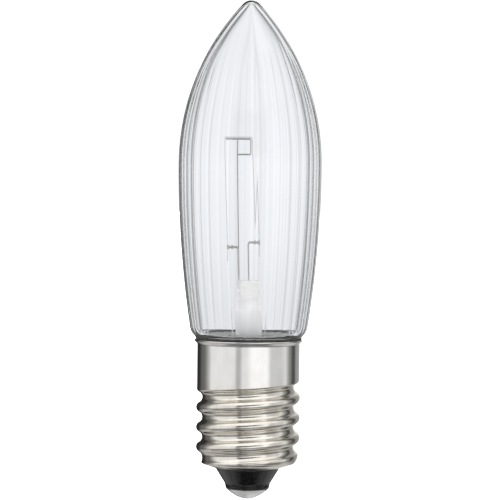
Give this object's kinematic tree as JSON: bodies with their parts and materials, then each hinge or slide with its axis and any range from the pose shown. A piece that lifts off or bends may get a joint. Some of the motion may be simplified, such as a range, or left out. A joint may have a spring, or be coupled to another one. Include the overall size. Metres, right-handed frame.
{
  "type": "light bulb",
  "caption": "Small clear candle lamp: pointed glass envelope with fine flutes, sealed on a stem with its leads and filament, cemented in a miniature screw cap with a domed centre contact.",
  "frame": {"origin": "On the lamp's axis, at the lowest point of the centre contact, where the lamp meets its holder.", "axes": "+Z runs along the lamp's axis from the contact to the glass tip, -Y faces the camera and +X is to its right."},
  "size_m": [0.013, 0.013, 0.0453],
  "materials": {
    "clear_glass": "clear, fire-polished",
    "stem_glass": "clear, fire-polished",
    "nickel_wire": "drawn wire",
    "copper_wire": "drawn wire",
    "support_wire": "drawn wire",
    "tungsten": "drawn wire",
    "nickel_plate": "rolled, nickel-plated brass",
    "cement": "cured, dull",
    "black_glass": "moulded, glossy",
    "contact_brass": "stamped",
    "solder": "flowed, bright"
  },
  "bodies": {
    "root": {"glass_envelope": "clear_glass", "glass_stem": "stem_glass", "exhaust_tube": "stem_glass", "inner_lead_left": "nickel_wire", "inner_lead_right": "nickel_wire", "outer_lead_side": "copper_wire", "outer_lead_centre": "copper_wire", "filament_support": "support_wire", "filament": "tungsten", "screw_shell": "nickel_plate", "basing_cement": "cement", "insulator": "black_glass", "contact_plate": "contact_brass", "centre_solder": "solder", "side_solder": "solder"}
  },
  "joints": []
}
